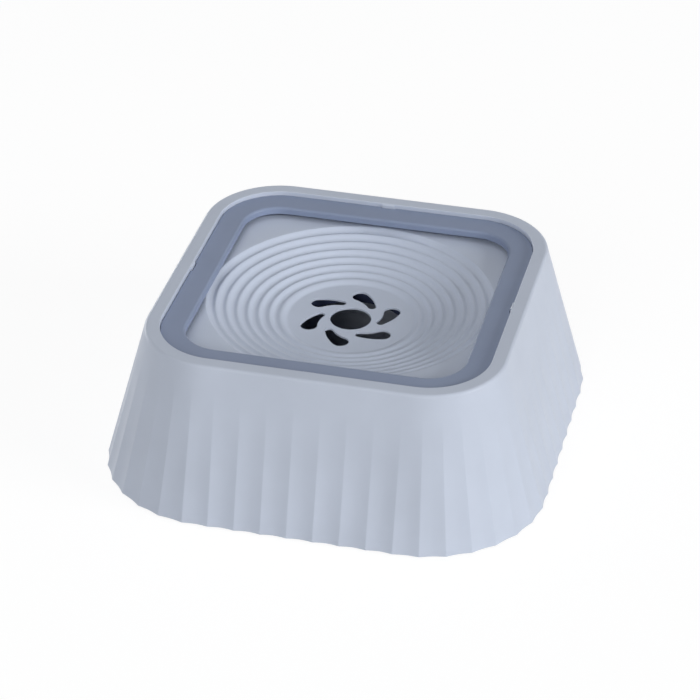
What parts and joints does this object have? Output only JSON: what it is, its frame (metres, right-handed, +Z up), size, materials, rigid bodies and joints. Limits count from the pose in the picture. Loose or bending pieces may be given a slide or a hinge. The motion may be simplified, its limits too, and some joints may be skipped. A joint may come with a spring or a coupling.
{
  "type": "no spill dog water bowl",
  "caption": "Square pet water bowl with a fluted skirt, a lift-off splash ring and a rippled float that rides on the water and lets a little through its holes.",
  "frame": {"origin": "on the table, under the middle of the bowl, in the plane of the feet's soles", "axes": "+Z up, -Y the front side that the picture shows wide, +X the right side"},
  "size_m": [0.22, 0.22, 0.0783],
  "materials": {
    "bowl_plastic": "satin moulded polypropylene, pale blue grey",
    "ring_plastic": "satin moulded polypropylene, slate blue",
    "float_plastic": "satin moulded polypropylene, pale blue grey",
    "shell_plastic": "satin moulded polypropylene, dark slate",
    "foot_rubber": "matt soft rubber, grey"
  },
  "bodies": {
    "bowl": {"bowl_body": "bowl_plastic", "foot_front_left": "foot_rubber", "foot_front_right": "foot_rubber", "foot_rear_left": "foot_rubber", "foot_rear_right": "foot_rubber"},
    "ring": {"splash_ring": "ring_plastic"},
    "float": {"float_top": "float_plastic", "float_bottom": "shell_plastic"}
  },
  "joints": [
    {"name": "ring_lift", "type": "slide", "parent": "bowl", "child": "ring", "axis": [0, 0, 1], "range_m": [0, 0.05]},
    {"name": "float_ride", "type": "slide", "parent": "bowl", "child": "float", "axis": [0, 0, 1], "range_m": [-0.043, 0.0023]}
  ]
}
